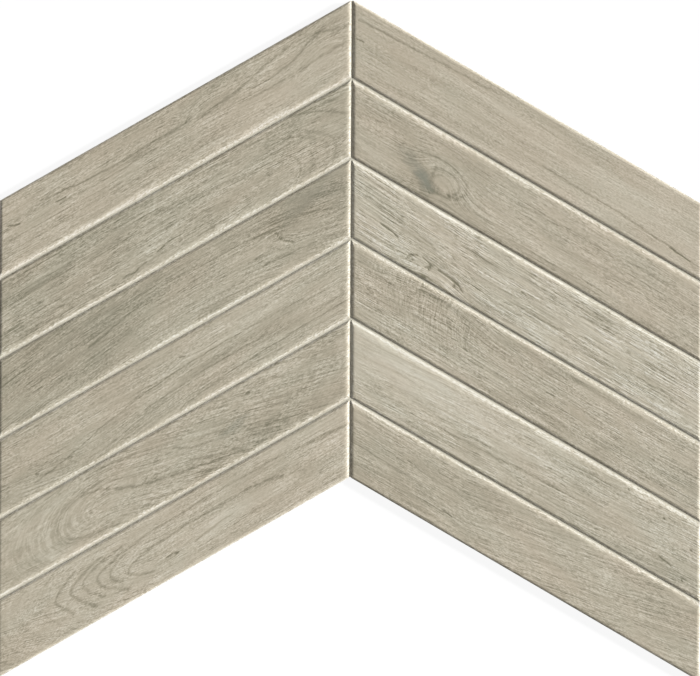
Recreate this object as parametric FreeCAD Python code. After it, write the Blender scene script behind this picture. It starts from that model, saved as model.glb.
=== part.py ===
import FreeCAD
import Part
import math
import os
from FreeCAD import Vector

# Chevron wall tile, in millimetres: two columns of mitred wood-look porcelain planks that fall away
# from a middle joint, held together by the pale grout between them.
# It lies on its back. +X is to the right of the face, +Y points to the chevron's peak and +Z out of
# the face. The origin is the middle of the outline, on the plane that the back ribs rest on.

# Plank
PLANK_LENGTH = 450.0  # along a long edge
PLANK_WIDTH = 74.4  # square across, from long edge to long edge
PLANK_THICKNESS = 9.0  # from the back ribs to the face
MITRE_ANGLE = 30.0  # degrees that a plank falls from the middle joint; its ends stand upright
CORNER_RADIUS = 0.8  # the press rounds the upright corners
PLANK_ROWS = 6  # planks in each column

# Cushioned rim round the face: an arc leaves the face smoothly and runs on into a straight flank
RIM_WIDTH = 4.4
RIM_RADIUS = 7.5
RIM_SLOPE = 30.0  # degrees that the flank falls towards the wall

# Keyed back: channels between ribs, inside a flat margin
CHANNELS = 5
CHANNEL_DEPTH = 0.7
CHANNEL_FLANK = 0.5  # a channel's floor is this much narrower on each side than its mouth
RIB_WIDTH = 3.5
BACK_MARGIN = 7.0  # along the long edges
BACK_END_MARGIN = 12.0  # along the mitred ends, measured on the long edge

# Grout
JOINT_WIDTH = 2.7  # between the rows of a column
MIDDLE_JOINT_WIDTH = 2.0  # between the columns
GROUT_DROP = 0.2  # the grout's edge below the foot of the rim
GROUT_SAG = 0.3  # how hollow the joint is tooled
GROUT_BACK_GAP = 0.5  # the grout stops this far above the back ribs
GROUT_END_GAP = 0.5  # and this far inside the planks' outer walls

TAU = math.radians(MITRE_ANGLE)
UP = Vector(0, 0, 1)
FALL = Vector(math.cos(TAU), -math.sin(TAU), 0)  # the way a right-hand plank runs, outwards

# Sizes that follow from those above, measured along X and Y
PLANK_RUN = PLANK_LENGTH * math.cos(TAU)
PLANK_FALL = PLANK_LENGTH * math.sin(TAU)
END_HEIGHT = PLANK_WIDTH / math.cos(TAU)
JOINT_HEIGHT = JOINT_WIDTH / math.cos(TAU)
ROW_PITCH = END_HEIGHT + JOINT_HEIGHT
COLUMN_HEIGHT = PLANK_ROWS * END_HEIGHT + (PLANK_ROWS - 1) * JOINT_HEIGHT
INNER_X = MIDDLE_JOINT_WIDTH / 2
OUTER_X = INNER_X + PLANK_RUN
PEAK_Y = (COLUMN_HEIGHT + PLANK_FALL) / 2
NOTCH_Y = PEAK_Y - COLUMN_HEIGHT

STEEPEST_TILT = math.asin(min(0.95 * RIM_WIDTH / RIM_RADIUS, 1))  # a little flank is always left
RIM_TILT = min(math.radians(RIM_SLOPE), STEEPEST_TILT)
RIM_ARC_RUN = RIM_RADIUS * math.sin(RIM_TILT)
RIM_ARC_DROP = RIM_RADIUS * (1 - math.cos(RIM_TILT))
RIM_FLANK_RUN = RIM_WIDTH - RIM_ARC_RUN
RIM_FOOT = PLANK_THICKNESS - RIM_ARC_DROP - RIM_FLANK_RUN * math.tan(RIM_TILT)
CHANNEL_WIDTH = (PLANK_WIDTH - 2 * BACK_MARGIN - (CHANNELS - 1) * RIB_WIDTH) / CHANNELS
GROUT_EDGE = RIM_FOOT - GROUT_DROP
TOOL_RADIUS = ((JOINT_WIDTH / 2) ** 2 + GROUT_SAG**2) / (2 * GROUT_SAG)
CLEAR = 5.0  # how far a cutting shape runs past what it cuts


def upright_face(x, profile):
    """A face on the plane of one x, from its (y, z) corners."""
    corners = [Vector(x, y, z) for y, z in profile]
    return Part.Face(Part.makePolygon(corners + corners[:1]))


def plank_blank(top_y):
    """The mitred block: its upright end, pushed along the fall, with the upright corners rounded."""
    end = upright_face(
        INNER_X,
        [
            (top_y, 0),
            (top_y - END_HEIGHT, 0),
            (top_y - END_HEIGHT, PLANK_THICKNESS),
            (top_y, PLANK_THICKNESS),
        ],
    )
    block = end.extrude(FALL * PLANK_LENGTH)
    upright = [e for e in block.Edges if abs(e.tangentAt(e.FirstParameter).dot(UP)) > 0.99]
    return block.makeFillet(CORNER_RADIUS, upright)


def plank_outline(top_y):
    """The corners of a right-hand plank's face, clockwise from the one at the middle joint's top."""
    return [
        Vector(INNER_X, top_y, 0),
        Vector(OUTER_X, top_y - PLANK_FALL, 0),
        Vector(OUTER_X, top_y - PLANK_FALL - END_HEIGHT, 0),
        Vector(INNER_X, top_y - END_HEIGHT, 0),
    ]


def rim_cutter(start, end):
    """What the press leaves off along one edge: all that lies above the rim's arc and flank."""
    along = (end - start).normalize()
    inward = along.cross(UP)
    length = (end - start).Length

    def at(inset, height):
        return start - along * CLEAR + inward * inset + UP * height

    def on_arc(tilt):
        fallen = RIM_RADIUS * (1 - math.cos(tilt))
        return at(RIM_WIDTH - RIM_RADIUS * math.sin(tilt), PLANK_THICKNESS - fallen)

    above = PLANK_THICKNESS + CLEAR
    outside = [
        on_arc(0),
        at(RIM_WIDTH, above),
        at(-CLEAR, above),
        at(-CLEAR, RIM_FOOT),
        at(0, RIM_FOOT),
        on_arc(RIM_TILT),
    ]
    arc = Part.Arc(on_arc(RIM_TILT), on_arc(RIM_TILT / 2), on_arc(0)).toShape()
    section = Part.Face(Part.Wire([arc] + Part.makePolygon(outside).Edges))
    return section.extrude(along * (length + 2 * CLEAR))


def back_channels(top_y):
    """The channels of the keyed back, each one section pushed along the fall between the end margins."""
    start = FALL * BACK_END_MARGIN
    to_y = 1 / math.cos(TAU)  # turns a width square across the plank into one along Y
    cuts = []
    for number in range(CHANNELS):
        upper = top_y - (BACK_MARGIN + number * (CHANNEL_WIDTH + RIB_WIDTH)) * to_y
        lower = upper - CHANNEL_WIDTH * to_y
        flank = CHANNEL_FLANK * to_y
        section = upright_face(
            INNER_X,
            [
                (upper, 0),
                (upper - flank, CHANNEL_DEPTH),
                (lower + flank, CHANNEL_DEPTH),
                (lower, 0),
            ],
        )
        section.translate(start)
        cuts.append(section.extrude(FALL * (PLANK_LENGTH - 2 * BACK_END_MARGIN)))
    return cuts


def right_plank(row):
    """One right-hand plank; row 0 is at the peak."""
    top_y = PEAK_Y - row * ROW_PITCH
    corners = plank_outline(top_y)
    cuts = [rim_cutter(a, b) for a, b in zip(corners, corners[1:] + corners[:1])]
    return plank_blank(top_y).cut(cuts + back_channels(top_y))


def mirrored(shape):
    """The same shape on the other side of the middle joint."""
    return shape.mirror(Vector(0, 0, 0), Vector(1, 0, 0))


def outline_prism():
    """The whole chevron as one block, to trim the grout a little inside the planks' outer walls."""
    gap_y = GROUT_END_GAP / math.cos(TAU)
    end_x = OUTER_X - GROUT_END_GAP
    end_fall = (end_x - INNER_X) * math.tan(TAU)
    right = [
        (INNER_X, PEAK_Y - gap_y),
        (end_x, PEAK_Y - gap_y - end_fall),
        (end_x, NOTCH_Y + gap_y - end_fall),
        (INNER_X, NOTCH_Y + gap_y),
    ]
    left = [(-x, y) for x, y in reversed(right)]
    corners = [Vector(x, y, GROUT_BACK_GAP) for x, y in right + left]
    face = Part.Face(Part.makePolygon(corners + corners[:1]))
    return face.extrude(UP * (GROUT_EDGE - GROUT_BACK_GAP))


def joint_start(row):
    """Where the middle line of the joint under a row meets the middle of the tile."""
    at_inner_x = PEAK_Y - row * ROW_PITCH - END_HEIGHT - JOINT_HEIGHT / 2
    return Vector(0, at_inner_x + INNER_X * math.tan(TAU), 0)


def joint_bar(row):
    """A bar along the joint under a row, wide enough to reach round the planks' rounded corners."""
    middle = joint_start(row).y
    half = JOINT_HEIGHT / 2 + CORNER_RADIUS / math.cos(TAU)
    section = upright_face(
        0,
        [
            (middle - half, GROUT_BACK_GAP),
            (middle + half, GROUT_BACK_GAP),
            (middle + half, GROUT_EDGE),
            (middle - half, GROUT_EDGE),
        ],
    )
    return section.extrude(FALL * (OUTER_X / math.cos(TAU)))


def middle_bar():
    """The bar along the middle joint, from the notch to the peak."""
    half = INNER_X + CORNER_RADIUS
    corner = Vector(-half, NOTCH_Y, GROUT_BACK_GAP)
    return Part.makeBox(2 * half, COLUMN_HEIGHT, GROUT_EDGE - GROUT_BACK_GAP, corner)


def joint_tool(start, way, length):
    """The round jointer's path along one joint, from a point on its middle line."""
    lift = UP * (GROUT_EDGE + TOOL_RADIUS - GROUT_SAG)
    return Part.makeCylinder(TOOL_RADIUS, length, start + lift, way)


def grout(planks):
    """The grout as it is cast: a lattice of joints round the planks, hollowed by the jointer."""
    right_bars = [joint_bar(row) for row in range(PLANK_ROWS - 1)]
    bars = right_bars + [mirrored(bar) for bar in right_bars]
    lattice = middle_bar().fuse(bars) if bars else middle_bar()
    lattice = lattice.common(outline_prism()).cut(planks)
    reach = OUTER_X / math.cos(TAU) + CLEAR
    right_tools = [joint_tool(joint_start(row), FALL, reach) for row in range(PLANK_ROWS - 1)]
    below = Vector(0, NOTCH_Y - CLEAR, 0)
    middle_tool = joint_tool(below, Vector(0, 1, 0), COLUMN_HEIGHT + 2 * CLEAR)
    tools = right_tools + [mirrored(tool) for tool in right_tools] + [middle_tool]
    return lattice.cut(tools)


def export(name, shape):
    """Writes one sub-part, as a single closed solid."""
    solids = shape.removeSplitter().Solids
    print(f"{name}: {len(solids)} solid, {sum(s.Volume for s in solids) / 1000:.2f} cm3")
    piece = solids[0] if len(solids) == 1 else Part.makeCompound(solids)
    piece.exportStep(os.path.join("parts", name + ".step"))


def main():
    os.makedirs("parts", exist_ok=True)
    planks = {}
    for row in range(PLANK_ROWS):
        plank = right_plank(row)
        planks[f"plank_right_{row + 1}"] = plank
        planks[f"plank_left_{row + 1}"] = mirrored(plank)
    for name, plank in planks.items():
        export(name, plank)
    export("joint_grout", grout(list(planks.values())))
    width, height = 2 * OUTER_X, COLUMN_HEIGHT + PLANK_FALL
    print(f"outline {width:.1f} x {height:.1f}, peak y {PEAK_Y:.2f}, notch y {NOTCH_Y:.2f}")


main()
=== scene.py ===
import bpy
import math
from functools import partial
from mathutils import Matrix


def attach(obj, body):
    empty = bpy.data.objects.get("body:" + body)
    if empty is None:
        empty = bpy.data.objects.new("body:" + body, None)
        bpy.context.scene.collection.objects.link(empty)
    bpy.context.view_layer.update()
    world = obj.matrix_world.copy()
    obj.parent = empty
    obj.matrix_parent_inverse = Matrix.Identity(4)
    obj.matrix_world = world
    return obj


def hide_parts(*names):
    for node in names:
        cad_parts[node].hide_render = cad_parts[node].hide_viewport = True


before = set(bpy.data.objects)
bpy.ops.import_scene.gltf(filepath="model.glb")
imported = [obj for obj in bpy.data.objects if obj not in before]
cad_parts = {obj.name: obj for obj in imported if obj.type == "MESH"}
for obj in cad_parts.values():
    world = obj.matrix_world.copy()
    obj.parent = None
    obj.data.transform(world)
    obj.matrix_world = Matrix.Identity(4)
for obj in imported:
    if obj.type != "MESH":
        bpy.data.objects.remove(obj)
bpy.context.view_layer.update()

# Chevron wall tile: printed and pressed oak-look porcelain planks, grouted, lying on a white table.
# Lengths are in metres unless a name ends in _mm or _MM; places in the print are (along, across) a
# plank in mm, from its corner at the top of the middle joint.
MM = 0.001
TO_MM = 1000.0

# Sizes of the planks, as in the part's source
PLANK_LENGTH = 0.450
PLANK_WIDTH = 0.0744
PLANK_THICKNESS = 0.009
MITRE_ANGLE = math.radians(30)
CORNER_RADIUS = 0.0008
PLANK_ROWS = 6
RIM_WIDTH = 0.0044
RIM_RADIUS = 0.0075
RIM_SLOPE = math.radians(30)
CHANNELS = 5
CHANNEL_DEPTH = 0.0007
CHANNEL_FLANK = 0.0005
RIB_WIDTH = 0.0035
BACK_MARGIN = 0.007
BACK_END_MARGIN = 0.012
JOINT_WIDTH = 0.0027
MIDDLE_JOINT_WIDTH = 0.002

CHANNEL_WIDTH = (PLANK_WIDTH - 2 * BACK_MARGIN - (CHANNELS - 1) * RIB_WIDTH) / CHANNELS
END_HEIGHT = PLANK_WIDTH / math.cos(MITRE_ANGLE)
JOINT_HEIGHT = JOINT_WIDTH / math.cos(MITRE_ANGLE)
ROW_PITCH = END_HEIGHT + JOINT_HEIGHT
COLUMN_HEIGHT = PLANK_ROWS * END_HEIGHT + (PLANK_ROWS - 1) * JOINT_HEIGHT
INNER_X = MIDDLE_JOINT_WIDTH / 2
PEAK_Y = (COLUMN_HEIGHT + PLANK_LENGTH * math.sin(MITRE_ANGLE)) / 2

# Mesh lines
STATIONS = 230  # across the plank, from end to end
FACE_LINES = 112  # along the plank, over the face
RIM_LINES = 9  # of either, over each rim, where they lie closer together

# How the press varies the rim: shares of its plain width that its noise runs between
RIM_NARROWEST = 0.6
SHADED_RIM_WIDEST = 0.95
BRIGHT_RIM_WIDEST = 2.5  # the side that faces the raking lamp
FREE_BRIGHT_RIM_WIDEST = 1.3  # the same on the tile's own edge
LEFT_INNER_RIM_STRETCH = 1.35
CORNER_REACH = 1.9  # corner radii from the tip, over which a sharp corner is drawn in
FREE_EDGE_GAP = 0.1  # a free edge counts as this far from any joint

# Where a noise's values mostly lie
NOISE_SPAN = (0.3, 0.7)

# Relief of the face: width and length in mm, and the deepest cut
STREAKS = ((2.6, 50), 0.11 * MM)
SWELL = ((14, 60), 0.14 * MM)
LINE_DEPTH = 0.08 * MM
CRACK_DEPTH = 0.25 * MM
RELIEF_ON_RIM = 0.25  # share of the streaks and the swell that is left at the very edge
MARK_STEP_MM = 1.5  # between the points that a drawn mark is resampled to

# Waves that draw the rings and fibres out of true: length and width in mm, and the noise's detail
SLOW_WAVE = ((190, 70), 1.0)
QUICK_WAVE = ((30, 9), 2.0)
FIBRE_BOW = 0.6  # share of the rings' bow that the fibres follow
FIBRE_BEND_MM = 20.0  # how gently they turn over beside the pith's line

# The type of a tree's input, by the kind of its default
SOCKET_TYPES = {int: "NodeSocketFloat", float: "NodeSocketFloat", tuple: "NodeSocketVector"}

# Spots in the print, where a knot pushes the grain aside, a cloud darkens it or ripples show, and
# what the strength of each is called
KNOTS = ("Knot A", "Knot B", "Knot C")
CLOUDS = ("Cloud A", "Cloud B", "Cloud C")
RIPPLE = "Ripple"
SPOT_STRENGTHS = {**dict.fromkeys(KNOTS, "Push"), **dict.fromkeys((*CLOUDS, RIPPLE), "Depth")}


def linear(hex_colour, alpha=1.0):
    """An sRGB hex colour as the linear values that Blender's sockets take."""
    parts = [int(hex_colour[i : i + 2], 16) / 255 for i in (1, 3, 5)]
    return tuple(c / 12.92 if c <= 0.04045 else ((c + 0.055) / 1.055) ** 2.4 for c in parts) + (alpha,)


def add_node(tree, kind, *values, named=None, **settings):
    """Adds a node with its settings; values go to its live inputs in order, named ones by name. A
    kind in capitals is an operation of the Math node."""
    if kind.isupper():
        kind, settings["operation"] = "ShaderNodeMath", kind
    node = tree.nodes.new(kind)
    for name, value in settings.items():
        setattr(node, name, value)
    live = [socket for socket in node.inputs if socket.enabled]
    chosen = [(node.inputs[name], value) for name, value in (named or {}).items()]
    for socket, value in list(zip(live, values)) + chosen:
        if isinstance(value, bpy.types.Node):
            value = next(output for output in value.outputs if output.enabled)
        if isinstance(value, bpy.types.NodeSocket):
            tree.links.new(value, socket)
        elif value is not None:
            socket.default_value = value
    return node


def new_tree(name, inputs, output):
    """A geometry tree that gives one piece of geometry. An input is a number, a vector or, where it
    has no default, the name of its socket's type."""
    tree = bpy.data.node_groups.new(name, "GeometryNodeTree")
    for label, default in inputs.items():
        kind = SOCKET_TYPES.get(type(default), default)
        socket = tree.interface.new_socket(label, in_out="INPUT", socket_type=kind)
        if kind != default:
            socket.default_value = default
    tree.interface.new_socket(output, in_out="OUTPUT", socket_type="NodeSocketGeometry")
    return tree


def rim_spaced(node, given, number, last, span, rim):
    """Where a numbered line lies across a span: close together over the rims, even between them."""
    rim_lines = given["Rim Lines"]
    rim_step = node("DIVIDE", rim, rim_lines)
    inner_span = node("MULTIPLY_ADD", rim, -2.0, span)
    inner_count = node("MULTIPLY_ADD", rim_lines, -2.0, last)
    inner_step = node("DIVIDE", inner_span, inner_count)
    past_rim = node("SUBTRACT", number, rim_lines)
    middle = node("MULTIPLY_ADD", past_rim, inner_step, rim)
    start = node("MULTIPLY", number, rim_step)
    to_go = node("SUBTRACT", last, number)
    back_off = node("MULTIPLY", to_go, rim_step)
    end = node("SUBTRACT", span, back_off)
    inside = node("MAXIMUM", start, middle)
    return node("MINIMUM", inside, end)


def patches(node, point, size_mm, seed_step, detail, roughness):
    """Smooth random patches of a size in mm. The point's third part is the plank's seed, spread by
    the seed step, so that each plank has its own."""
    per_mm = tuple(1 / length for length in size_mm) + (seed_step,)
    place = node("ShaderNodeVectorMath", point, per_mm, operation="MULTIPLY")
    return node("ShaderNodeTexNoise", place, 1.0, detail, roughness)


def seeded_patches(node, given, point_mm, size_mm, detail, roughness):
    """The same for a flat point, with the plank's seed as the noise's fourth dimension."""
    per_mm = tuple(1 / length for length in size_mm) + (0,)
    place = node("ShaderNodeVectorMath", point_mm, per_mm, operation="MULTIPLY")
    return node("ShaderNodeTexNoise", place, given["Seed"], 1.0, detail, roughness, noise_dimensions="4D")


def wavered(node, point, noise, swing):
    """A point moved about by a noise, by half the swing either way at the most."""
    moved = node("ShaderNodeVectorMath", noise.outputs["Color"], (0.5, 0.5, 0.5), operation="SUBTRACT")
    return node("ShaderNodeVectorMath", moved, swing, point, operation="MULTIPLY_ADD")


def spot_inputs():
    """Inputs for the spots in the print, each with its place, its reach and its strength."""
    inputs = {}
    for spot, strength in SPOT_STRENGTHS.items():
        inputs[f"{spot} Place"] = (0, 0, 0)
        inputs[f"{spot} Reach"] = (20, 10, 1)
        inputs[f"{spot} {strength}"] = 0
    return inputs


def spot_fade(node, given, spot, point):
    """1 at a spot's place, falling smoothly to almost nothing at twice its reach."""
    away = node("ShaderNodeVectorMath", point, given[f"{spot} Place"], operation="SUBTRACT")
    scaled = node("ShaderNodeVectorMath", away, given[f"{spot} Reach"], operation="DIVIDE")
    square = node("ShaderNodeVectorMath", scaled, scaled, operation="DOT_PRODUCT").outputs["Value"]
    fading = node("MULTIPLY", square, -1.0)
    return node("EXPONENT", fading)


def ring_and_fibre(node, given, point):
    """A point's distance from the pith, and its place among the fibres, before anything moves them."""
    from_pith = node("ShaderNodeVectorMath", point, given["Pith Place"], operation="SUBTRACT")
    apart = node("ShaderNodeSeparateXYZ", from_pith).outputs
    inward = node("LESS_THAN", apart["X"], 0.0)
    taper = node("ShaderNodeMix", inward, given["Taper Outward"], given["Taper Inward"])
    depth = node("MULTIPLY", taper, apart["X"])
    slant = node("ShaderNodeMix", inward, given["Slant Outward"], given["Slant Inward"])
    off_axis = node("MULTIPLY_ADD", slant, apart["X"], apart["Y"])
    flat = node("ShaderNodeCombineXYZ", depth, off_axis, 0.0)
    ring = node("ShaderNodeVectorMath", flat, operation="LENGTH").outputs["Value"]
    off_by = node("ABSOLUTE", off_axis)
    bow = node("SUBTRACT", ring, off_by)
    bow = node("MULTIPLY", bow, FIBRE_BOW)
    lean = node("ADD", off_by, FIBRE_BEND_MM)
    lean = node("DIVIDE", off_axis, lean)
    fibre = node("MULTIPLY_ADD", bow, lean, off_axis)
    return ring, fibre


def wood_figure(node, given, point):
    """Where a point lies in the print's growth rings, straight or round a pith, and among its
    fibres, which bow less than the rings do. Knots push both aside, and slow and quick waves draw
    them out of true. Places and sizes are in mm."""
    ring, fibre = ring_and_fibre(node, given, point)
    moved = 0.0
    for knot in KNOTS:
        fade = spot_fade(node, given, knot, point)
        moved = node("MULTIPLY_ADD", fade, given[f"{knot} Push"], moved)
    for strength, (size_mm, detail) in {"Drift": SLOW_WAVE, "Wave": QUICK_WAVE}.items():
        wave = seeded_patches(node, given, point, size_mm, detail=detail, roughness=0.5)
        swing = node("SUBTRACT", wave, 0.5)
        swing = node("MULTIPLY", swing, 2.0)
        moved = node("MULTIPLY_ADD", swing, given[strength], moved)
    ring = node("ADD", ring, moved)
    fibre = node("ADD", fibre, moved)
    return ring, fibre


def rim_fall(node, given, inset):
    """How far the face has fallen at a distance from the nearest edge: an arc, then a flank."""
    radius, slope = given["Rim Radius"], given["Rim Slope"]
    out = node("SUBTRACT", given["Rim Width"], inset)
    out = node("MAXIMUM", out, 0.0)
    sine = node("SINE", slope)
    arc_run = node("MULTIPLY", radius, sine)
    on_arc = node("MINIMUM", out, arc_run)
    on_flank = node("SUBTRACT", out, on_arc)
    radius_square = node("MULTIPLY", radius, radius)
    run_square = node("MULTIPLY", on_arc, on_arc)
    height_square = node("SUBTRACT", radius_square, run_square)
    height = node("SQRT", height_square)
    arc_fall = node("SUBTRACT", radius, height)
    steepness = node("TANGENT", slope)
    return node("MULTIPLY_ADD", on_flank, steepness, arc_fall)


def section_outline(node, given):
    """The plank's cross-section as a closed curve: face lines, then back corners, right to left."""
    index = node("GeometryNodeInputIndex")
    lines = given["Face Lines"]
    last = node("SUBTRACT", lines, 1.0)
    across = rim_spaced(node, given, index, last, given["Plank Width"], given["Rim Width"])
    face_point = node("ShaderNodeCombineXYZ", across, given["Plank Thickness"], 1.0)

    # The back's corners, numbered from the left: the edge, four to a channel, the edge
    each, edges, half_way = 4.0, 2.0, 1.5
    corner_count = node("MULTIPLY_ADD", given["Channels"], each, edges)
    count = node("ADD", lines, corner_count)
    to_end = node("SUBTRACT", count, index)
    corner = node("SUBTRACT", to_end, edges)
    channel = node("DIVIDE", corner, each)
    channel = node("FLOOR", channel)
    within = node("MULTIPLY_ADD", channel, -each, corner)
    pitch = node("ADD", given["Channel Width"], given["Rib Width"])
    start = node("MULTIPLY_ADD", channel, pitch, given["Back Margin"])
    odd = node("MODULO", within, 2.0)
    second_half = node("GREATER_THAN", within, half_way)
    floor_width = node("SUBTRACT", given["Channel Width"], given["Channel Flank"])
    place = node("MULTIPLY_ADD", odd, given["Channel Flank"], start)
    place = node("MULTIPLY_ADD", second_half, floor_width, place)
    at_floor = node("COMPARE", within, half_way, 0.9)
    height = node("MULTIPLY", at_floor, given["Channel Depth"])
    channel_corners = node("MULTIPLY", given["Channels"], each)
    left_edge = node("LESS_THAN", corner, 0.0)
    past_channels = node("SUBTRACT", channel_corners, 0.5)
    right_edge = node("GREATER_THAN", corner, past_channels)
    place = node("GeometryNodeSwitch", left_edge, place, 0.0, input_type="FLOAT")
    place = node("GeometryNodeSwitch", right_edge, place, given["Plank Width"], input_type="FLOAT")
    at_edge = node("ADD", left_edge, right_edge)
    height = node("GeometryNodeSwitch", at_edge, height, 0.0, input_type="FLOAT")
    back_point = node("ShaderNodeCombineXYZ", place, height, 0.0)

    on_face = node("LESS_THAN", index, lines)
    point = node("GeometryNodeSwitch", on_face, back_point, face_point, input_type="VECTOR")
    flat_point = node("ShaderNodeVectorMath", point, (1, 1, 0), operation="MULTIPLY")
    points = node("GeometryNodePoints", count, flat_point)
    points = node(
        "GeometryNodeStoreNamedAttribute", points, True, "section", point, data_type="FLOAT_VECTOR"
    )
    curve = node("GeometryNodePointsToCurves", points, 0, index)
    return node("GeometryNodeSetSplineCyclic", curve, True, True)


def plank_inputs():
    """Inputs of the tree that presses a plank: sizes, mesh lines, finishes and what the print shows."""
    return {
        "Plank Length": PLANK_LENGTH,
        "Plank Width": PLANK_WIDTH,
        "Plank Thickness": PLANK_THICKNESS,
        "Mitre Angle": MITRE_ANGLE,
        "Corner Radius": CORNER_RADIUS,
        "Inner X": INNER_X,
        "Top Y": PEAK_Y,
        "Side": 1,
        "Rim Width": RIM_WIDTH,
        "Rim Radius": RIM_RADIUS,
        "Rim Slope": RIM_SLOPE,
        "Rim Narrowest": RIM_NARROWEST,
        "Upper Rim Widest": SHADED_RIM_WIDEST,
        "Lower Rim Widest": SHADED_RIM_WIDEST,
        "Inner Rim Stretch": 1,
        "Upper Edge Free": 0,
        "Lower Edge Free": 0,
        "Channels": CHANNELS,
        "Channel Width": CHANNEL_WIDTH,
        "Channel Depth": CHANNEL_DEPTH,
        "Channel Flank": CHANNEL_FLANK,
        "Rib Width": RIB_WIDTH,
        "Back Margin": BACK_MARGIN,
        "Back End Margin": BACK_END_MARGIN,
        "Stations": STATIONS,
        "Face Lines": FACE_LINES,
        "Rim Lines": RIM_LINES,
        "Glaze": "NodeSocketMaterial",
        "Body": "NodeSocketMaterial",
        "Lines": "NodeSocketObject",
        "Cracks": "NodeSocketObject",
        "Print": (0, 1, 0),
        "Warmth": 0.5,
        "Seed": 0,
        "Pith Place": (0, -200, 0),
        "Taper Inward": 0,
        "Taper Outward": 0,
        "Slant Inward": 0,
        "Slant Outward": 0,
        "Drift": 5,
        "Wave": 1,
        "Ripple Middle": (0, 0, 0),
        "Ripple Squash": (1, 0.6, 0),
        **spot_inputs(),
    }


def swept_section(node, given):
    """The plank's section swept along it, with the place of each station stored as along."""
    section = section_outline(node, given)
    index = node("GeometryNodeInputIndex")
    last = node("SUBTRACT", given["Stations"], 1.0)
    cosine = node("COSINE", given["Mitre Angle"])
    rim_along = node("DIVIDE", given["Rim Width"], cosine)
    station = rim_spaced(node, given, index, last, given["Plank Length"], rim_along)
    rail_point = node("ShaderNodeCombineXYZ", station, 0.0, 0.0)
    rail = node("GeometryNodePoints", given["Stations"], rail_point)
    rail = node("GeometryNodeStoreNamedAttribute", rail, True, "along", station)
    rail = node("GeometryNodePointsToCurves", rail, 0, index)
    return node("GeometryNodeCurveToMesh", rail, section, None, True)


def corner_pull(node, given, sharp_corners):
    """How far the mitre's two sharp corners are drawn in: the first one's pull less the second's.
    Each corner is given by a point's gaps to the end and to the side that meet there."""
    sharp_half = node("SUBTRACT", given["Mitre Angle"], math.pi / 2)
    sharp_half = node("MULTIPLY", sharp_half, -0.5)
    drawn_in = node("SINE", sharp_half)
    drawn_in = node("SUBTRACT", 1.0, drawn_in)
    drawn_in = node("MULTIPLY", drawn_in, given["Corner Radius"])
    reach = node("MULTIPLY", given["Corner Radius"], CORNER_REACH)
    pulls = []
    for end_gap, side_gap in sharp_corners:
        farther = node("MAXIMUM", end_gap, side_gap)
        near = node("ShaderNodeMapRange", farther, 0.0, reach, 1.0, 0.0)
        near = node("POWER", near, 2.0)
        pulls.append(node("MULTIPLY", near, drawn_in))
    return node("SUBTRACT", *pulls)


def plank_places(node, given):
    """Where a mesh point lies: its gaps to the plank's ends and sides, how far along it is, its
    height in the section and whether it is on the face."""
    along = node("GeometryNodeInputNamedAttribute", "along")
    section = node("GeometryNodeInputNamedAttribute", "section", data_type="FLOAT_VECTOR")
    upper, height, on_face = node("ShaderNodeSeparateXYZ", section).outputs
    cosine = node("COSINE", given["Mitre Angle"])
    inner = node("MULTIPLY", along, cosine)
    span = node("MULTIPLY", given["Plank Length"], cosine)
    outer = node("SUBTRACT", span, inner)
    lower = node("SUBTRACT", given["Plank Width"], upper)
    pull = corner_pull(node, given, ((inner, upper), (outer, lower)))
    inner = node("ADD", inner, pull)
    outer = node("SUBTRACT", outer, pull)
    return {
        "inner": inner,
        "outer": outer,
        "nearest_end": node("MINIMUM", inner, outer),
        "upper": node("ADD", upper, pull),
        "lower": node("SUBTRACT", lower, pull),
        "along": node("DIVIDE", inner, cosine),
        "height": height,
        "on_face": on_face,
    }


def clouds_and_ripples(node, given, point_mm):
    """How much the clouds darken a point and how strong the ripples are there, with ragged edges."""
    noise = seeded_patches(node, given, point_mm, (30, 11), detail=3.0, roughness=0.55)
    ragged = wavered(node, point_mm, noise, (60, 24, 0))
    depths = {}
    for spot in (*CLOUDS, RIPPLE):
        fade = spot_fade(node, given, spot, ragged)
        depths[spot] = node("MULTIPLY", fade, given[f"{spot} Depth"])
    cloud = node("ADD", depths["Cloud A"], depths["Cloud B"])
    cloud = node("ADD", cloud, depths["Cloud C"])
    return cloud, depths[RIPPLE]


def drawn_share(node, marks, point):
    """How much a point is in drawn marks: 1 on a mark's curve, 0 at its reach, the curve's radius."""
    curve = node("GeometryNodeObjectInfo", marks).outputs["Geometry"]
    radius = node("GeometryNodeInputRadius")
    curve = node("GeometryNodeStoreNamedAttribute", curve, True, "reach", radius)
    curve = node("GeometryNodeResampleCurve", curve, mode="LENGTH", named={"Length": MARK_STEP_MM})
    curve = node("GeometryNodeCurveToMesh", curve)
    near = node("GeometryNodeProximity", curve, None, point, target_element="EDGES")
    nearest = node("GeometryNodeSampleNearest", curve, point)
    reach = node("GeometryNodeInputNamedAttribute", "reach")
    reach = node("GeometryNodeSampleIndex", curve, reach, nearest)
    share = node("DIVIDE", near.outputs["Distance"], reach)
    share = node("SUBTRACT", 1.0, share)
    share = node("MAXIMUM", share, 0.0)
    return node("MULTIPLY", share, near.outputs["Is Valid"])


def ripple_place(node, given, point, across_mm):
    """Where a point lies in the ripples: faint rings over the grain, counted from their middle."""
    outwards = node("ShaderNodeVectorMath", point, given["Ripple Middle"], operation="SUBTRACT")
    outwards = node("ShaderNodeVectorMath", outwards, given["Ripple Squash"], operation="MULTIPLY")
    distance = node("ShaderNodeVectorMath", outwards, operation="LENGTH").outputs["Value"]
    return node("ShaderNodeCombineXYZ", distance, across_mm, given["Seed"])


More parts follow.
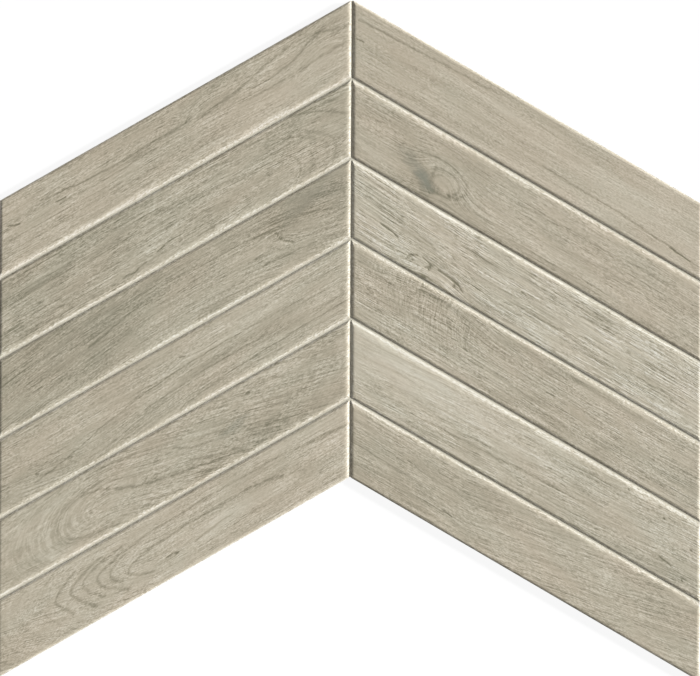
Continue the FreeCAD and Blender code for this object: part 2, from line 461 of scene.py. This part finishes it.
def rim_gaps(node, given, at, point_mm):
    """Gaps to the nearest edge, as the press stretches the rim there: here and there it rounds a
    long edge much wider. The second gap is to the joints alone and passes over a free edge."""
    wobble = seeded_patches(node, given, point_mm, (60, 38), detail=5.0, roughness=0.62)
    sides, joints = [], []
    for label in ("Upper", "Lower"):
        widest = given[f"{label} Rim Widest"]
        stretch = node("ShaderNodeMapRange", wobble, 0.3, 0.75, given["Rim Narrowest"], widest)
        side = node("DIVIDE", at[label.lower()], stretch)
        sides.append(side)
        free = given[f"{label} Edge Free"]
        joints.append(node("MULTIPLY_ADD", free, FREE_EDGE_GAP, side))
    inner = node("DIVIDE", at["inner"], given["Inner Rim Stretch"])
    rim = node("MINIMUM", *sides)
    rim = node("MINIMUM", rim, inner)
    rim = node("MINIMUM", rim, at["outer"])
    joint = node("MINIMUM", *joints)
    joint = node("MINIMUM", joint, inner)
    return rim, joint


def face_relief(node, given, at, fibre_point, lines, cracks):
    """How deep the press cuts the face: streaks that follow the fibres over a slow hand-scraped
    swell, both shallow on the rim, and the drawn lines and cracks."""
    nearest_side = node("MINIMUM", at["upper"], at["lower"])
    inset = node("MINIMUM", at["nearest_end"], nearest_side)
    grain = node("ShaderNodeSeparateXYZ", given["Print"]).outputs["Y"]
    relief = 0.0
    for size_mm, deepest in (STREAKS, SWELL):
        noise = patches(node, fibre_point, size_mm, 1, detail=2.0, roughness=0.55)
        depth = node("ShaderNodeMapRange", noise, *NOISE_SPAN, 0.0, deepest)
        relief = node("ADD", depth, relief)
    fade = node("ShaderNodeMapRange", inset, 0.0, given["Rim Width"], RELIEF_ON_RIM, 1.0)
    relief = node("MULTIPLY", relief, fade)
    relief = node("MULTIPLY", relief, grain)
    for share, deepest in ((lines, LINE_DEPTH), (cracks, CRACK_DEPTH)):
        relief = node("MULTIPLY_ADD", share, deepest, relief)
    return relief


def back_height(node, given, at):
    """The keyed back's height: its channels stop short of the ends."""
    cosine = node("COSINE", given["Mitre Angle"])
    end_room = node("MULTIPLY", given["Back End Margin"], cosine)
    keyed = node("GREATER_THAN", at["nearest_end"], end_room)
    return node("MULTIPLY", at["height"], keyed)


def placed_point(node, given, at, height):
    """Where a point of the plank lies in the tile."""
    cosine = node("COSINE", given["Mitre Angle"])
    sine = node("SINE", given["Mitre Angle"])
    x = node("ADD", at["inner"], given["Inner X"])
    x = node("MULTIPLY", x, given["Side"])
    fallen = node("MULTIPLY", at["along"], sine)
    down = node("DIVIDE", at["upper"], cosine)
    y = node("SUBTRACT", given["Top Y"], fallen)
    y = node("SUBTRACT", y, down)
    return node("ShaderNodeCombineXYZ", x, y, height)


def with_print(node, mesh, vectors, numbers):
    """The mesh with the values that the glaze reads, stored under their names."""
    for name, vector in vectors.items():
        mesh = node(
            "GeometryNodeStoreNamedAttribute", mesh, True, name, vector, data_type="FLOAT_VECTOR"
        )
    for name, number in numbers.items():
        mesh = node("GeometryNodeStoreNamedAttribute", mesh, True, name, number)
    return mesh


def pressed_plank():
    """The tree that presses one plank: its section swept from mitre to mitre, then rim, relief and
    keyed back. What the print needs is stored before the points move."""
    tree = new_tree("pressed_plank", plank_inputs(), "Plank")
    node = partial(add_node, tree)
    given = node("NodeGroupInput").outputs
    seed = given["Seed"]
    plank = swept_section(node, given)
    at = plank_places(node, given)
    along_mm = node("MULTIPLY", at["along"], TO_MM)
    across_mm = node("MULTIPLY", at["upper"], TO_MM)
    point_mm = node("ShaderNodeCombineXYZ", along_mm, across_mm, 0.0)

    ring, fibre = wood_figure(node, given, point_mm)
    ring_point = node("ShaderNodeCombineXYZ", ring, along_mm, seed)
    fibre_point = node("ShaderNodeCombineXYZ", fibre, along_mm, seed)
    cloud, rippled = clouds_and_ripples(node, given, point_mm)
    unsteady = seeded_patches(node, given, point_mm, (13, 7), detail=3.0, roughness=0.6)
    hand_drawn = wavered(node, point_mm, unsteady, (9, 6, 0))
    lines, cracks = (drawn_share(node, given[label], hand_drawn) for label in ("Lines", "Cracks"))

    rim_gap, joint_gap = rim_gaps(node, given, at, point_mm)
    relief = face_relief(node, given, at, fibre_point, lines, cracks)
    lowered = node("ADD", relief, rim_fall(node, given, rim_gap))
    face = node("SUBTRACT", given["Plank Thickness"], lowered)
    height = node("ShaderNodeMix", at["on_face"], back_height(node, given, at), face)
    vectors = {
        "figure": ring_point,
        "fibre": fibre_point,
        "place": node("ShaderNodeCombineXYZ", along_mm, across_mm, seed),
        "touches": node("ShaderNodeCombineXYZ", cloud, lines, cracks),
        "ripple": ripple_place(node, given, hand_drawn, across_mm),
        "print": given["Print"],
    }
    # edge and joint are gaps in mm; the glaze's painted highlight along the rims and joints fades over
    # them
    numbers = {
        "rippled": rippled,
        "edge": node("MULTIPLY", rim_gap, TO_MM),
        "joint": node("MULTIPLY", joint_gap, TO_MM),
        "warmth": given["Warmth"],
    }
    plank = with_print(node, plank, vectors, numbers)
    plank = node("GeometryNodeSetPosition", plank, True, placed_point(node, given, at, height))
    mirrored = node("LESS_THAN", given["Side"], 0.0)
    plank = node("GeometryNodeFlipFaces", plank, mirrored)
    plank = node("GeometryNodeRealizeInstances", plank)
    glazed = node("GREATER_THAN", at["on_face"], 0.99)
    plank = node("GeometryNodeSetMaterial", plank, True, given["Body"])
    node("NodeGroupOutput", node("GeometryNodeSetMaterial", plank, glazed, given["Glaze"]))
    return tree


def new_material(name):
    """An empty material and the function that adds nodes to it."""
    material = bpy.data.materials.new(name)
    material.use_nodes = True
    material.node_tree.nodes.clear()
    return material, partial(add_node, material.node_tree)


# The print's layers: what each follows, its size across and along the grain in mm, its detail, the
# noise that maps to 0 and to 1, the mask's middle, how far it lifts the tone, and what scales that.
# Real pores and fibres are a few tenths of a millimetre wide, too fine to show here, so the finest
# layers are drawn about 1 mm wide.
PRINT_LAYERS = {
    "broad": ("figure", (24, 300), 2.0, (0.25, 0.75), 0.5, 0.12, None),
    "bands": ("figure", (7, 210), 2.0, NOISE_SPAN, 0.5, 0.08, None),
    "rings": ("figure", (2.8, 200), 3.0, (0.68, 0.55), 0.85, 0.11, "grain"),
    "fibres": ("brushed", (1.1, 70), 1.0, (0.34, 0.66), 0.5, 0.22, "grain"),
    "hairlines": ("brushed", (1.3, 120), 1.0, (0.7, 0.63), 0.92, 0.2, "grain"),
    "pores": ("brushed", (1.1, 14), 1.0, (0.66, 0.54), 0.8, 0.17, "grain"),
    "blotches": ("place", (15, 34), 3.0, NOISE_SPAN, 0.5, 0.10, "mottle"),
    "leather": ("place", (3, 9), 3.0, NOISE_SPAN, 0.5, 0.06, "mottle"),
    "grit": ("place", (1.1, 3.2), 1.0, NOISE_SPAN, 0.5, 0.25, "gritty"),
    "ripples": ("ripple", (2.2, 18), 1.0, (0.38, 0.62), 0.5, 1.0, "rippled"),
}
ROUGH_LAYERS = ("fibres", "hairlines", "pores", "grit")  # fainter where the press left it smooth
BASE_TONE = 0.467
INKS = ((0.0, "#7B7662"), (0.25, "#968F7D"), (0.5, "#B2A996"), (0.75, "#C9C1B0"), (1.0, "#DDD8CD"))


def stored_print(node):
    """What the press stored on the plank for the print, by name."""
    read = {}
    for name in ("figure", "fibre", "place", "touches", "ripple", "print"):
        read[name] = node("ShaderNodeAttribute", attribute_name=name).outputs["Vector"]
    for name in ("rippled", "edge", "joint", "warmth"):
        read[name] = node("ShaderNodeAttribute", attribute_name=name).outputs["Fac"]
    read["cloud"], read["line"], read["crack"] = node("ShaderNodeSeparateXYZ", read["touches"]).outputs
    read["tone"], read["grain"], read["mottle"] = node("ShaderNodeSeparateXYZ", read["print"]).outputs
    return read


def pressed_roughness(node, read):
    """How rough the press left the face: parts of it are smooth, and so are the pale clouds."""
    smooth = patches(node, read["place"], (42, 16), 5.3, detail=2.0, roughness=0.55)
    rough = node("ShaderNodeMapRange", smooth, 0.38, 0.52, 0.5, 1.15)
    pale_cloud = node("ShaderNodeMapRange", read["cloud"], -0.08, 0.0, 0.4, 1.0)
    return node("MULTIPLY", rough, pale_cloud)


def layered_tone(node, read, rough):
    """How light the layers make the print, and each layer's mask. The brushed ones wander a little
    from the fibres."""
    wander = patches(node, read["place"], (18, 6), 3.7, detail=2.0, roughness=0.5)
    brushed = wavered(node, read["fibre"], wander, (1.6, 0, 0))
    gritty = node("MULTIPLY_ADD", read["mottle"], 0.4, 0.85)
    sources = {**read, "brushed": brushed, "gritty": gritty}
    lightness = node("ADD", read["tone"], BASE_TONE)
    masks = {}
    for name, (follows, size_mm, detail, ends, middle, lift, scale) in PRINT_LAYERS.items():
        if follows == "place":
            noise = patches(node, read["place"], size_mm[::-1], 3.7, detail, 0.6)
        else:
            noise = patches(node, sources[follows], size_mm, 1, detail, 0.6)
        masks[name] = node("ShaderNodeMapRange", noise, *ends, interpolation_type="SMOOTHSTEP")
        swing = node("SUBTRACT", masks[name], middle)
        swing = node("MULTIPLY", swing, lift)
        if scale:
            swing = node("MULTIPLY", swing, sources[scale])
        if name in ROUGH_LAYERS:
            swing = node("MULTIPLY", swing, rough)
        lightness = node("ADD", lightness, swing)
    return lightness, masks


def marked_tone(node, read, masks, lightness):
    """The print's tone with its clouds and its worn lines and cracks, and a painted highlight: the
    tone is lifted along every rim and, fainter and wider, beside the joints. Each fades between two
    gaps in mm, from one lift of the tone to the other."""
    lightness = node("SUBTRACT", lightness, read["cloud"])
    for drawn, darkest, faintest in (("line", 0.25, 0.6), ("crack", 0.55, 0.8)):
        worn = node("ShaderNodeMapRange", masks["leather"], 0.0, 1.0, faintest, 1.25)
        shade = node(
            "ShaderNodeMapRange", read[drawn], 0.0, 0.9, 0.0, darkest, interpolation_type="SMOOTHSTEP"
        )
        shade = node("MULTIPLY", shade, worn)
        lightness = node("SUBTRACT", lightness, shade)
    grains = node("ShaderNodeMapRange", masks["grit"], 0.0, 1.0, 0.55, 1.45)
    # Painted highlight: paler along every rim and beside the joints, speckled by the grit
    for gap, ends in (("edge", (0.9, 1.8, 0.2, 0.0)), ("joint", (0.5, 3.6, 0.12, 0.0))):
        painted_highlight = node("ShaderNodeMapRange", read[gap], *ends, interpolation_type="SMOOTHSTEP")
        painted_highlight = node("MULTIPLY", painted_highlight, grains)
        lightness = node("ADD", lightness, painted_highlight)
    return lightness


def ink_colour(node, read, lightness):
    """The inks for a tone, smoky in the darkest clouds, drifting slowly between a greenish and a
    pinkish greige."""
    colour = node("ShaderNodeValToRGB", lightness)
    ramp = colour.color_ramp
    while len(ramp.elements) < len(INKS):
        ramp.elements.new(1.0)
    for element, (position, hex_colour) in zip(ramp.elements, INKS):
        element.position = position
        element.color = linear(hex_colour)
    smoke = node("ShaderNodeMapRange", read["cloud"], 0.1, 0.35, 0.0, 0.5)
    colour = node("ShaderNodeMix", smoke, colour, linear("#8A8F85"), data_type="RGBA")
    tint = patches(node, read["place"], (90, 34), 7.1, detail=2.0, roughness=0.6)
    tint = node("ShaderNodeMapRange", tint, *NOISE_SPAN, -0.6, 0.3)
    tint = node("ADD", tint, read["warmth"])
    tint = node("ShaderNodeMix", tint, linear("#FCFFFE"), linear("#FFFDFB"), data_type="RGBA")
    return node("ShaderNodeMix", 1.0, colour, tint, data_type="RGBA", blend_type="MULTIPLY")


def printed_glaze():
    """Printed porcelain, pressed and fired: a greige oak print under a matt glaze. Streaks, pores,
    clouds and drawn marks darken one ramp of inks, and the brushed relief is in the bump."""
    material, node = new_material("printed_porcelain_glaze")
    read = stored_print(node)
    rough = pressed_roughness(node, read)
    lightness, masks = layered_tone(node, read, rough)
    lightness = marked_tone(node, read, masks, lightness)
    depth = node("ADD", masks["fibres"], masks["pores"])
    depth = node("MULTIPLY_ADD", masks["grit"], 0.6, depth)
    depth = node("MULTIPLY_ADD", masks["leather"], 0.8, depth)
    depth = node("MULTIPLY", depth, read["grain"])
    depth = node("MULTIPLY", depth, rough)
    bump = node("ShaderNodeBump", named={"Strength": 0.55, "Distance": 0.06 * MM, "Height": depth})
    colour = ink_colour(node, read, lightness)
    shader = node(
        "ShaderNodeBsdfPrincipled", named={"Base Color": colour, "Roughness": 0.6, "Normal": bump}
    )
    node("ShaderNodeOutputMaterial", shader)
    return material


def porcelain_body():
    """Unglazed porcelain body: the pressed walls and keyed back, a chalky warm grey, fine-grained.
    Its grains are under 0.1 mm, so they are drawn about 1 mm wide to show."""
    material, node = new_material("unglazed_porcelain_body")
    grains_per_m, mottles_per_m = 900.0, 40.0
    spot = node("ShaderNodeTexCoord").outputs["Object"]
    grain = node("ShaderNodeTexNoise", spot, grains_per_m, 3.0, 0.6)
    mottle = node("ShaderNodeTexNoise", spot, mottles_per_m, 3.0, 0.6)
    colour = node("ShaderNodeMix", mottle, linear("#B9B1A1"), linear("#CFC8B9"), data_type="RGBA")
    bump = node("ShaderNodeBump", named={"Strength": 0.4, "Distance": 0.1 * MM, "Height": grain})
    shader = node(
        "ShaderNodeBsdfPrincipled", named={"Base Color": colour, "Roughness": 0.85, "Normal": bump}
    )
    node("ShaderNodeOutputMaterial", shader)
    return material


def cement_grout():
    """Fine sanded cement grout, struck off with a round jointer: pale, matt, with dark grains. The
    sand is about 0.3 mm, drawn about 1.4 mm wide to show."""
    material, node = new_material("sanded_cement_grout")
    grains_per_m, stains_per_m = 700.0, 60.0
    spot = node("ShaderNodeTexCoord").outputs["Object"]
    sand = node("ShaderNodeTexNoise", spot, grains_per_m, 2.0, 0.6)
    stain = node("ShaderNodeTexNoise", spot, stains_per_m, 3.0, 0.6)
    colour = node("ShaderNodeMix", stain, linear("#BAB5A4"), linear("#D0CBBB"), data_type="RGBA")
    speckle = node("ShaderNodeMapRange", sand, 0.35, 0.6, 0.35, 0.0)
    colour = node("ShaderNodeMix", speckle, colour, linear("#8C8776"), data_type="RGBA")
    bump = node("ShaderNodeBump", named={"Strength": 0.6, "Distance": 0.15 * MM, "Height": sand})
    shader = node(
        "ShaderNodeBsdfPrincipled", named={"Base Color": colour, "Roughness": 0.9, "Normal": bump}
    )
    node("ShaderNodeOutputMaterial", shader)
    return material


# What each plank's print shows, over the defaults of the tree's inputs. Print is how much lighter
# the plank is, how strong its grain is and how mottled it is. Warmth leads from greenish to pinkish.
# The rings close round the pith's place: the taper is how blunt they are and the slant how far they
# lean, on either side of it. Drift and Wave are how far, in mm, the slow and the quick waves swing. A
# knot, a cloud and the ripples are each a place, a reach to either side and a strength.
FIGURES = {
    "left_1": {
        "Print": (0.025, 0.95, 0.5),
        "Lower Rim Widest": 3.5,
        "Warmth": 0.9,
        "Knot A": ((32, 30), (32, 16), 10),
        "Knot B": ((212, 22), (16, 9), -6),
        "Cloud A": ((160, 6), (200, 20), 0.09),
        "Cloud B": ((70, 52), (90, 18), -0.05),
    },
    "left_2": {
        "Print": (-0.018, 1.2, 0.8),
        "Warmth": 0.5,
        "Pith Place": (186, 58, 0),
        "Taper Inward": 0.32,
        "Taper Outward": 0.03,
        "Wave": 0.9,
        "Cloud A": ((330, 10), (150, 22), 0.09),
        "Cloud B": ((30, 14), (50, 14), 0.06),
        "Cloud C": ((420, 60), (80, 30), 0.07),
    },
    "left_3": {
        "Print": (-0.048, 1.05, 0.9),
        "Warmth": 0.55,
        "Pith Place": (195, 140, 0),
        "Taper Inward": 0.46,
        "Taper Outward": 0.34,
        "Knot A": ((92, 36), (24, 10), 6),
        "Cloud A": ((45, 14), (66, 21), 0.17),
        "Cloud B": ((345, 26), (120, 34), 0.13),
        "Cloud C": ((120, 34), (24, 9), -0.1),
    },
    "left_4": {
        "Print": (0.01, 0.92, 0.6),
        "Warmth": 0.6,
        "Knot A": ((345, 70), (80, 30), -12),
        "Knot B": ((212, 20), (14, 6), 4),
        "Cloud A": ((250, 70), (260, 20), 0.05),
    },
    "left_5": {
        "Print": (-0.005, 1.05, 1.0),
        "Warmth": 0.68,
        "Pith Place": (308, 42, 0),
        "Taper Inward": 0.07,
        "Taper Outward": 0.36,
        "Slant Inward": 0.2,
        "Wave": 0.6,
        "Ripple Middle": (312, 41, 0),
        "Ripple Squash": (0.62, 1.3, 0),
        "Ripple": ((378, 42), (66, 34), 0.2),
        "Cloud A": ((151, 40), (20, 7), 0.14),
        "Cloud B": ((120, 60), (90, 30), 0.12),
        "Cloud C": ((400, 40), (60, 40), -0.1),
    },
    "left_6": {
        "Print": (0.078, 0.9, 0.6),
        "Warmth": 0.85,
        "Pith Place": (243, 44, 0),
        "Taper Inward": 0.06,
        "Taper Outward": 0.35,
        "Slant Outward": 0.12,
        "Wave": 1.4,
        "Cloud B": ((150, 44), (60, 9), -0.06),
        "Cloud A": ((420, 50), (70, 50), 0.06),
    },
    "right_1": {"Print": (0.085, 0.6, 0.1), "Warmth": 0.9, "Cloud A": ((40, 40), (70, 60), 0.05)},
    "right_2": {
        "Print": (0.008, 0.95, 0.35),
        "Upper Rim Widest": 3.0,
        "Warmth": 0.85,
        "Knot A": ((118, 42), (28, 19), 24),
        "Ripple Middle": (120, 42, 0),
        "Ripple Squash": (0.7, 0.9, 0),
        "Ripple": ((116, 42), (26, 18), 0.07),
        "Cloud A": ((92, 56), (17, 14), 0.38),
        "Cloud B": ((70, 40), (14, 14), 0.16),
        "Cloud C": ((122, 45), (13, 9), -0.1),
    },
    "right_3": {
        "Print": (0.078, 1.7, 0.2),
        "Warmth": 0.45,
        "Pith Place": (260, -200, 0),
        "Taper Inward": 0.3,
        "Knot A": ((104, 66), (40, 12), 7),
    },
    "right_4": {
        "Print": (-0.006, 1.25, 1.0),
        "Warmth": 0.7,
        "Knot A": ((110, 10), (60, 30), 9),
        "Ripple Middle": (200, 30, 0),
        "Ripple Squash": (1.15, 1.4, 0),
        "Ripple": ((106, 22), (80, 32), 0.26),
        "Cloud A": ((90, 14), (80, 18), 0.09),
    },
    "right_5": {
        "Print": (0.085, 1.25, 0.5),
        "Upper Rim Widest": 3.7,
        "Warmth": 0.45,
        "Slant Outward": 0.06,
        "Cloud A": ((20, 14), (150, 30), -0.09),
        "Cloud B": ((400, 66), (150, 20), 0.13),
    },
    "right_6": {
        "Print": (-0.002, 1.05, 0.3),
        "Warmth": 0.7,
        "Pith Place": (150, -200, 0),
        "Slant Outward": 0.17,
        "Cloud A": ((20, 60), (60, 30), 0.05),
    },
}

# Growth lines drawn in the print of some planks: the reach to either side, in mm, and the
# (along, across) points that the line runs through
LINES = {
    "left_1": [
        (2.2, (2, 38), (30, 36.8), (52, 38.5), (66, 41)),
        (2.4, (4, 22), (20, 21), (34, 14), (52, 14), (64, 23), (80, 29), (104, 30), (130, 30.3)),
        (2.4, (78, 11), (102, 13), (122, 19), (140, 24), (162, 27), (196, 29.5)),
        (2.2, (204, 25), (214, 28.6), (236, 27.6), (262, 28.4), (302, 30), (352, 27.5), (396, 22)),
        (1.6, (250, 35), (290, 37.5), (335, 37), (372, 35.5)),
    ],
    "left_2": [
        (1.7, (262, 63), (276, 66), (292, 66.5)),
        (1.4, (222, 54), (236, 57), (248, 58.5)),
        (1.3, (264, 27), (290, 30)),
    ],
    "left_3": [
        (2.0, (96, 26), (108, 23.3), (126, 22.4)),
        (1.8, (268, 24), (300, 30), (335, 36)),
        (1.4, (2, 66), (30, 61), (60, 58), (110, 54)),
    ],
    "left_4": [
        (1.2, (60, 30), (120, 29), (190, 29), (236, 32), (290, 38), (332, 47), (352, 54), (404, 61)),
        (1.4, (0, 56), (70, 57), (110, 58.6), (182, 62), (216, 69)),
        (1.3, (104, 44), (160, 45), (210, 46), (262, 50)),
    ],
    "left_5": [
        (1.6, (174, 40), (196, 38), (212, 32), (226, 26)),
        (1.9, (344, 22.5), (332, 22.5), (312, 28.5), (286, 39), (246, 49.5), (180, 60.5), (112, 70.5)),
    ],
    "left_6": [
        (2.7, (2, 22), (60, 17.5), (120, 14.5), (190, 15.5), (262, 18), (296, 23), (318, 29),
         (324, 34), (316, 44), (300, 53), (280, 61)),
        (2.7, (86, 36), (104, 31.5), (150, 29), (204, 30), (252, 32), (276, 37), (284, 44),
         (276, 51), (250, 57)),
        (2.4, (286, 25), (300, 29), (308, 36), (303, 43), (290, 50)),
        (2.7, (290, 16), (322, 20), (338, 26), (342, 33), (330, 45), (312, 54)),
        (2.7, (318, 15), (342, 21), (357, 29), (355, 36), (340, 50), (322, 60)),
        (2.7, (352, 14), (366, 22), (378, 31), (372, 40), (352, 54)),
        (1.8, (150, 45), (172, 47.5), (196, 51)),
    ],
    "right_1": [
        (1.8, (246, 52.7), (290, 54.5), (334, 54), (380, 58), (446, 62)),
        (2.0, (8, 16), (60, 13), (120, 11), (190, 9)),
    ],
    "right_2": [
        (2.4, (84, 31), (98, 28), (114, 27), (130, 28), (143, 33), (148, 41), (143, 50), (132, 58)),
        (2.4, (103, 47), (105, 39), (117, 34.5), (133, 36), (139, 43), (134, 52), (122, 59)),
        (3.0, (102, 61), (112, 62.5), (124, 60), (130, 57)),
    ],
    "right_3": [
        (1.6, (0, 22.4), (30, 26), (70, 30.6), (104, 37)),
        (1.6, (128, 37), (144, 41), (160, 48)),
        (1.4, (296, 20.6), (330, 21.2), (372, 21)),
    ],
    "right_5": [(1.5, (95, 54), (160, 52), (230, 48), (300, 45.5))],
    "right_6": [(1.5, (0, 39), (40, 40), (96, 42))],
}

# Cracks, knot specks and open pores, given in the same way
CRACKS = {
    "left_1": [
        (1.3, (424, 32.5), (433, 30.5), (440, 29.5)),
        (1.1, (366, 33), (378, 32)),
        (1.1, (208, 23), (212, 27.5)),
    ],
    "left_2": [(1.0, (272, 65.5), (280, 66.3)), (0.9, (238, 57), (246, 58.5))],
    "left_3": [(1.3, (96, 29), (87, 39), (84, 41.5)), (1.2, (84, 41.5), (80, 44), (71, 47.4))],
    "left_4": [(1.9, (399.4, 53.9), (401.2, 52.7)), (1.2, (211, 22), (214, 19), (217, 19))],
    "left_5": [(1.5, (127, 15), (130, 13), (133, 14.5)), (1.2, (42, 15), (46, 13.5))],
    "left_6": [(1.5, (219, 53), (226, 50), (234, 51))],
    "right_1": [(1.1, (4, 35), (14, 35)), (1.0, (408, 60), (436, 61.5))],
    "right_2": [(1.6, (122.5, 57), (125, 58)), (1.1, (96, 61), (100, 66))],
    "right_3": [
        (1.4, (37, 45), (60, 48.5)),
        (1.5, (70, 64), (75, 57), (84, 54.5)),
        (1.3, (75, 56), (78, 63)),
        (1.7, (92, 54), (104, 56.5)),
        (1.6, (101, 56), (99, 63)),
        (1.3, (99, 59), (94, 62)),
        (1.8, (113, 56.5), (125, 58), (138, 60)),
        (1.6, (138, 60), (142, 65)),
        (1.4, (134, 59.5), (130, 65)),
        (1.2, (218, 31), (225, 33)),
    ],
    "right_4": [(1.0, (250, 37), (262, 36))],
    "right_5": [
        (1.5, (356, 8), (358, 6.5)),
        (1.6, (401, 16), (403.5, 14.8)),
        (1.7, (425.5, 65), (428, 62)),
        (1.4, (437, 30.5), (439, 29.5)),
        (1.3, (398, 54), (412, 57)),
    ],
    "right_6": [(1.1, (118, 54), (130, 56))],
}


def drawn_marks(name, marks):
    """Drawn marks as smooth curves in millimetres along and across a plank, as wide as they reach."""
    curve = bpy.data.curves.new(name, "CURVE")
    curve.dimensions = "3D"
    for reach, *points in marks:
        spline = curve.splines.new("NURBS")
        spline.points.add(len(points) - 1)
        for point, (along, across) in zip(spline.points, points):
            point.co = (along, across, 0, 1)
            point.radius = reach
        spline.order_u = 3
        spline.use_endpoint_u = True
    piece = bpy.data.objects.new(name, curve)
    bpy.context.scene.collection.objects.link(piece)
    return piece


def spelled_out(figure):
    """A plank's figure as values of the tree's inputs."""
    values = {}
    for label, entry in figure.items():
        if label in SPOT_STRENGTHS:
            place, reach, strength = entry
            values[f"{label} Place"] = (*place, 0)
            values[f"{label} Reach"] = (*reach, 1)
            values[f"{label} {SPOT_STRENGTHS[label]}"] = strength
        else:
            values[label] = entry
    return values


def plank_values(name, number):
    """The tree's inputs for one plank, apart from its materials and its drawn marks."""
    side, row = name.split("_")
    right = side == "right"
    bright = "Upper" if right else "Lower"
    free = {"Upper": row == "1", "Lower": row == str(PLANK_ROWS)}
    return {
        "Seed": float(number),
        "Side": 1.0 if right else -1.0,
        "Top Y": PEAK_Y - (int(row) - 1) * ROW_PITCH,
        f"{bright} Rim Widest": FREE_BRIGHT_RIM_WIDEST if free[bright] else BRIGHT_RIM_WIDEST,
        "Inner Rim Stretch": 1.0 if right else LEFT_INNER_RIM_STRETCH,
        "Upper Edge Free": float(free["Upper"]),
        "Lower Edge Free": float(free["Lower"]),
        **spelled_out(FIGURES[name]),
    }


def pressed_mesh(tree, name, values):
    """A plain mesh, pressed by the tree with these values of its inputs."""
    ids = {item.name: item.identifier for item in tree.interface.items_tree if item.in_out == "INPUT"}
    blank = bpy.data.objects.new("blank", bpy.data.meshes.new("blank"))
    bpy.context.scene.collection.objects.link(blank)
    press = blank.modifiers.new("press", "NODES")
    press.node_group = tree
    for label, value in values.items():
        press[ids[label]] = value
    shown = blank.evaluated_get(bpy.context.evaluated_depsgraph_get())
    mesh = bpy.data.meshes.new_from_object(shown)
    bpy.data.objects.remove(blank)
    mesh.name = name
    mesh.shade_smooth()
    mesh.set_sharp_from_angle(angle=math.radians(35))
    return mesh


def press_planks(glaze, body):
    """Presses the twelve planks, each into a plain mesh that stands for its node."""
    tree = pressed_plank()
    for number, name in enumerate(FIGURES, 1):
        lines = drawn_marks("drawn_lines", LINES.get(name, []))
        cracks = drawn_marks("drawn_cracks", CRACKS.get(name, []))
        values = {"Glaze": glaze, "Body": body, "Lines": lines, "Cracks": cracks}
        mesh = pressed_mesh(tree, f"pressed_plank_{name}", {**values, **plank_values(name, number)})
        for marks in (lines, cracks):
            bpy.data.objects.remove(marks)
        plank = bpy.data.objects.new(mesh.name, mesh)
        bpy.context.scene.collection.objects.link(plank)
        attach(plank, "root")
        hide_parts(f"plank_{name}")


def white_table():
    """A white table top that keeps the tile's shadow. It can't be seen from below, and rays within
    2 mm pass it, so that the back lamp reaches the tile's back."""
    mesh = bpy.data.meshes.new("white_table")
    half, glow = 4.0, 0.91
    corners = [(-half, -half, 0), (half, -half, 0), (half, half, 0), (-half, half, 0)]
    mesh.from_pydata(corners, [], [(0, 1, 2, 3)])
    table = bpy.data.objects.new("white_table", mesh)
    bpy.context.scene.collection.objects.link(table)
    material, node = new_material("white_table_top")
    rays = node("ShaderNodeLightPath").outputs
    seen = node("MAXIMUM", rays["Is Camera Ray"], rays["Is Glossy Ray"])
    seen = node("MAXIMUM", seen, rays["Is Transmission Ray"])
    shaded = node("ShaderNodeBsdfDiffuse", linear("#585858"))
    lit = node("ShaderNodeAddShader", shaded, node("ShaderNodeEmission", (1, 1, 1, 1), glow))
    matt = node("ShaderNodeBsdfDiffuse", linear("#E6E6E6"))
    top = node("ShaderNodeMixShader", seen, matt, lit)
    clear = node("ShaderNodeBsdfTransparent")
    below = node("ShaderNodeNewGeometry").outputs["Backfacing"]
    close = node("LESS_THAN", rays["Ray Length"], 2 * MM)
    open_to = node("MAXIMUM", below, close)
    node("ShaderNodeOutputMaterial", node("ShaderNodeMixShader", open_to, top, clear))
    mesh.materials.append(material)


def lights():
    """A low sun-like lamp from the right rakes the rims, a second lights the back from below the
    table, and a weak even sky fills the shade. A lamp is its strength, its width in degrees and its
    turn."""
    lamp_height, lamp_turn, back_turn, sky = 22, 7, 148, 0.2
    raking = (6.9, 7, (0, math.radians(90 - lamp_height), math.radians(lamp_turn)))
    back = (2.8, 20, (math.radians(back_turn), 0, 0))
    for name, (energy, width, turn) in {"raking_lamp": raking, "back_lamp": back}.items():
        lamp = bpy.data.lights.new(name, "SUN")
        lamp.energy = energy
        lamp.angle = math.radians(width)
        sun = bpy.data.objects.new(name, lamp)
        sun.rotation_euler = turn
        bpy.context.scene.collection.objects.link(sun)
    world = bpy.data.worlds.new("studio")
    world.use_nodes = True
    world.node_tree.nodes.clear()
    node = partial(add_node, world.node_tree)
    rays = node("ShaderNodeLightPath").outputs
    seen = node("MAXIMUM", rays["Is Camera Ray"], rays["Is Transmission Ray"])
    strength = node("ShaderNodeMapRange", seen, 0.0, 1.0, sky, 1.0)
    node("ShaderNodeOutputWorld", node("ShaderNodeBackground", (1, 1, 1, 1), strength))
    bpy.context.scene.world = world


def camera():
    """Straight above the face with a long lens, turned as little as the photograph is."""
    photo_width_px, mm_per_px, turn = 700, 1.112, math.radians(0.3)
    data = bpy.data.cameras.new("camera")
    data.lens = 120
    data.sensor_width = 36
    data.clip_end = 50
    frame_width = photo_width_px * mm_per_px * MM
    height = PLANK_THICKNESS + frame_width * data.lens / data.sensor_width
    eye = bpy.data.objects.new("camera", data)
    eye.location = (-0.4 * MM, 2.2 * MM, height)
    eye.rotation_euler = (0, 0, turn)
    bpy.context.scene.collection.objects.link(eye)
    bpy.context.scene.camera = eye


press_planks(printed_glaze(), porcelain_body())
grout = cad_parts["joint_grout"]
grout.data.materials.clear()
grout.data.materials.append(cement_grout())
white_table()
lights()
camera()
bpy.context.scene.view_settings.view_transform = "Standard"
